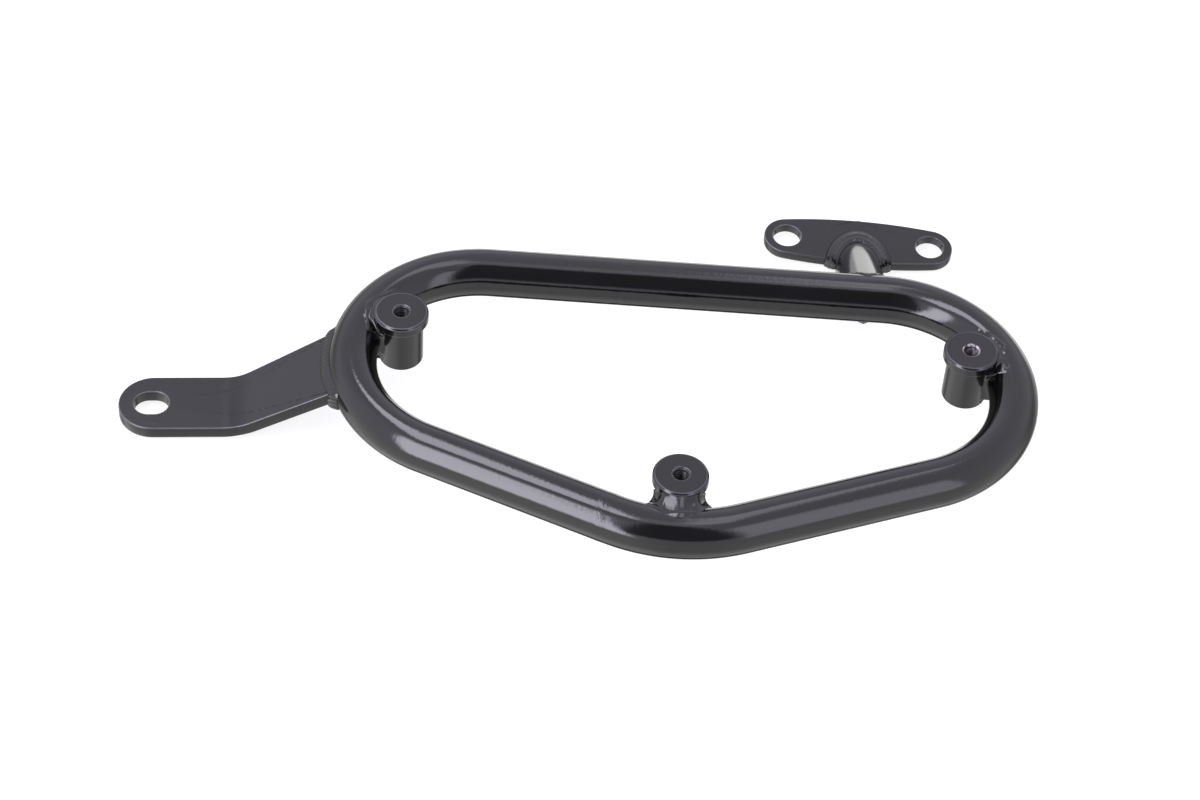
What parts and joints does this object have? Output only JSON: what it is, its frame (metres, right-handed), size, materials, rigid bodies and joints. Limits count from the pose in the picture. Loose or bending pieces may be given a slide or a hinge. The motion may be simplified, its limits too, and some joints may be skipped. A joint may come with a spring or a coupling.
{
  "type": "pannier frame",
  "caption": "Motorbike pannier frame: a bent round-tube loop with threaded bosses inside it, a cranked slotted strap at one end and a drilled flange on a short falling bar",
  "frame": {"origin": "on the front boss's thread axis, in the plane of the loop tube's centreline", "axes": "+X to the right along the loop's long side, away from the strap; +Y from the front boss to the rear run and the flange; +Z the way the boss faces look, outward from the motorbike"},
  "size_m": [0.3385, 0.1964, 0.0367],
  "materials": {
    "tube_coat": "semi-gloss black powder coat",
    "boss_coat": "semi-gloss black powder coat on turned steel",
    "bracket_coat": "semi-gloss black powder coat on flat steel",
    "weld_coat": "semi-gloss black powder coat over weld beads"
  },
  "bodies": {
    "root": {"loop_tube": "tube_coat", "loop_seam_weld": "weld_coat", "front_boss": "boss_coat", "left_boss": "boss_coat", "right_boss": "boss_coat", "front_boss_weld": "weld_coat", "left_boss_weld": "weld_coat", "right_boss_weld": "weld_coat", "strap": "bracket_coat", "strap_weld": "weld_coat", "stub_bar": "tube_coat", "stub_loop_weld": "weld_coat", "flange": "bracket_coat", "stub_flange_weld": "weld_coat"}
  },
  "joints": []
}
